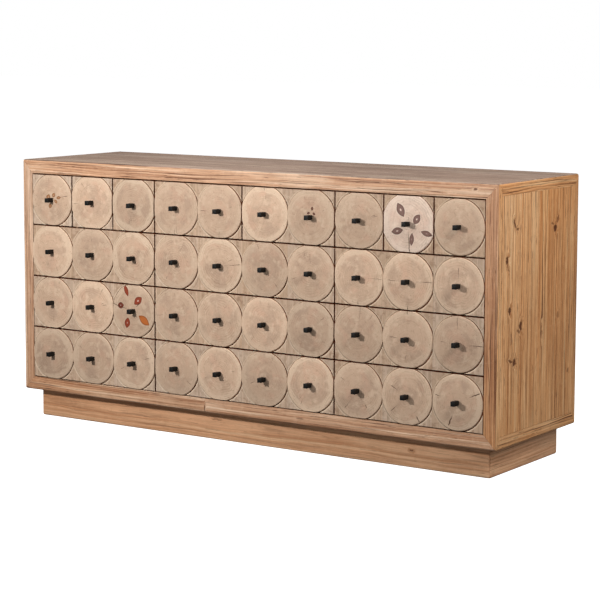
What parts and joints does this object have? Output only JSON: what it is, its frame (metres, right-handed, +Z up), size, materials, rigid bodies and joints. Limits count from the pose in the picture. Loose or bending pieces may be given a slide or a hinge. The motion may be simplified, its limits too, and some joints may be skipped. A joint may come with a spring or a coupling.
{
  "type": "sideboard",
  "caption": "Low wooden sideboard on a recessed plinth, its front a grid of drawers faced with round log slices, each slice with a small black peg knob.",
  "frame": {"origin": "centre of the base on the floor: under the middle of the width, and under the middle of the depth measured from the knob tips to the back", "axes": "+X along the front to the viewer's right, +Y from the drawers to the back, +Z up"},
  "size_m": [1.7, 0.521, 0.82],
  "materials": {
    "case_wood": "oiled reclaimed softwood, matt",
    "top_wood": "weathered planks, waxed, matt",
    "log_end": "sanded end grain, bleached, matt",
    "inner_wood": "plain planed softwood, unfinished",
    "knob_iron": "blackened, satin"
  },
  "bodies": {
    "case": {"top_panel": "top_wood", "left_side_panel": "case_wood", "right_side_panel": "case_wood", "front_frame": "case_wood", "back_panel": "inner_wood", "bottom_panel": "inner_wood", "partitions": "inner_wood", "shelves": "inner_wood", "plinth": "case_wood"},
    "drawer_01": {"drawer_01_front": "log_end", "drawer_01_box": "inner_wood", "drawer_01_knobs": "knob_iron"},
    "drawer_02": {"drawer_02_front": "log_end", "drawer_02_box": "inner_wood", "drawer_02_knobs": "knob_iron"},
    "drawer_03": {"drawer_03_front": "log_end", "drawer_03_box": "inner_wood", "drawer_03_knobs": "knob_iron"},
    "drawer_04": {"drawer_04_front": "log_end", "drawer_04_box": "inner_wood", "drawer_04_knobs": "knob_iron"},
    "drawer_05": {"drawer_05_front": "log_end", "drawer_05_box": "inner_wood", "drawer_05_knobs": "knob_iron"},
    "drawer_06": {"drawer_06_front": "log_end", "drawer_06_box": "inner_wood", "drawer_06_knobs": "knob_iron"},
    "drawer_07": {"drawer_07_front": "log_end", "drawer_07_box": "inner_wood", "drawer_07_knobs": "knob_iron"},
    "drawer_08": {"drawer_08_front": "log_end", "drawer_08_box": "inner_wood", "drawer_08_knobs": "knob_iron"},
    "drawer_09": {"drawer_09_front": "log_end", "drawer_09_box": "inner_wood", "drawer_09_knobs": "knob_iron"},
    "drawer_10": {"drawer_10_front": "log_end", "drawer_10_box": "inner_wood", "drawer_10_knobs": "knob_iron"},
    "drawer_11": {"drawer_11_front": "log_end", "drawer_11_box": "inner_wood", "drawer_11_knobs": "knob_iron"},
    "drawer_12": {"drawer_12_front": "log_end", "drawer_12_box": "inner_wood", "drawer_12_knobs": "knob_iron"},
    "drawer_13": {"drawer_13_front": "log_end", "drawer_13_box": "inner_wood", "drawer_13_knobs": "knob_iron"},
    "drawer_14": {"drawer_14_front": "log_end", "drawer_14_box": "inner_wood", "drawer_14_knobs": "knob_iron"},
    "drawer_15": {"drawer_15_front": "log_end", "drawer_15_box": "inner_wood", "drawer_15_knobs": "knob_iron"},
    "drawer_16": {"drawer_16_front": "log_end", "drawer_16_box": "inner_wood", "drawer_16_knobs": "knob_iron"},
    "drawer_17": {"drawer_17_front": "log_end", "drawer_17_box": "inner_wood", "drawer_17_knobs": "knob_iron"}
  },
  "joints": [
    {"name": "drawer_01_slide", "type": "slide", "parent": "case", "child": "drawer_01", "axis": [0, -1, 0], "range_m": [0, 0.28]},
    {"name": "drawer_02_slide", "type": "slide", "parent": "case", "child": "drawer_02", "axis": [0, -1, 0], "range_m": [0, 0.28]},
    {"name": "drawer_03_slide", "type": "slide", "parent": "case", "child": "drawer_03", "axis": [0, -1, 0], "range_m": [0, 0.28]},
    {"name": "drawer_04_slide", "type": "slide", "parent": "case", "child": "drawer_04", "axis": [0, -1, 0], "range_m": [0, 0.28]},
    {"name": "drawer_05_slide", "type": "slide", "parent": "case", "child": "drawer_05", "axis": [0, -1, 0], "range_m": [0, 0.28]},
    {"name": "drawer_06_slide", "type": "slide", "parent": "case", "child": "drawer_06", "axis": [0, -1, 0], "range_m": [0, 0.28]},
    {"name": "drawer_07_slide", "type": "slide", "parent": "case", "child": "drawer_07", "axis": [0, -1, 0], "range_m": [0, 0.28]},
    {"name": "drawer_08_slide", "type": "slide", "parent": "case", "child": "drawer_08", "axis": [0, -1, 0], "range_m": [0, 0.28]},
    {"name": "drawer_09_slide", "type": "slide", "parent": "case", "child": "drawer_09", "axis": [0, -1, 0], "range_m": [0, 0.28]},
    {"name": "drawer_10_slide", "type": "slide", "parent": "case", "child": "drawer_10", "axis": [0, -1, 0], "range_m": [0, 0.28]},
    {"name": "drawer_11_slide", "type": "slide", "parent": "case", "child": "drawer_11", "axis": [0, -1, 0], "range_m": [0, 0.28]},
    {"name": "drawer_12_slide", "type": "slide", "parent": "case", "child": "drawer_12", "axis": [0, -1, 0], "range_m": [0, 0.28]},
    {"name": "drawer_13_slide", "type": "slide", "parent": "case", "child": "drawer_13", "axis": [0, -1, 0], "range_m": [0, 0.28]},
    {"name": "drawer_14_slide", "type": "slide", "parent": "case", "child": "drawer_14", "axis": [0, -1, 0], "range_m": [0, 0.28]},
    {"name": "drawer_15_slide", "type": "slide", "parent": "case", "child": "drawer_15", "axis": [0, -1, 0], "range_m": [0, 0.28]},
    {"name": "drawer_16_slide", "type": "slide", "parent": "case", "child": "drawer_16", "axis": [0, -1, 0], "range_m": [0, 0.28]},
    {"name": "drawer_17_slide", "type": "slide", "parent": "case", "child": "drawer_17", "axis": [0, -1, 0], "range_m": [0, 0.28]}
  ]
}
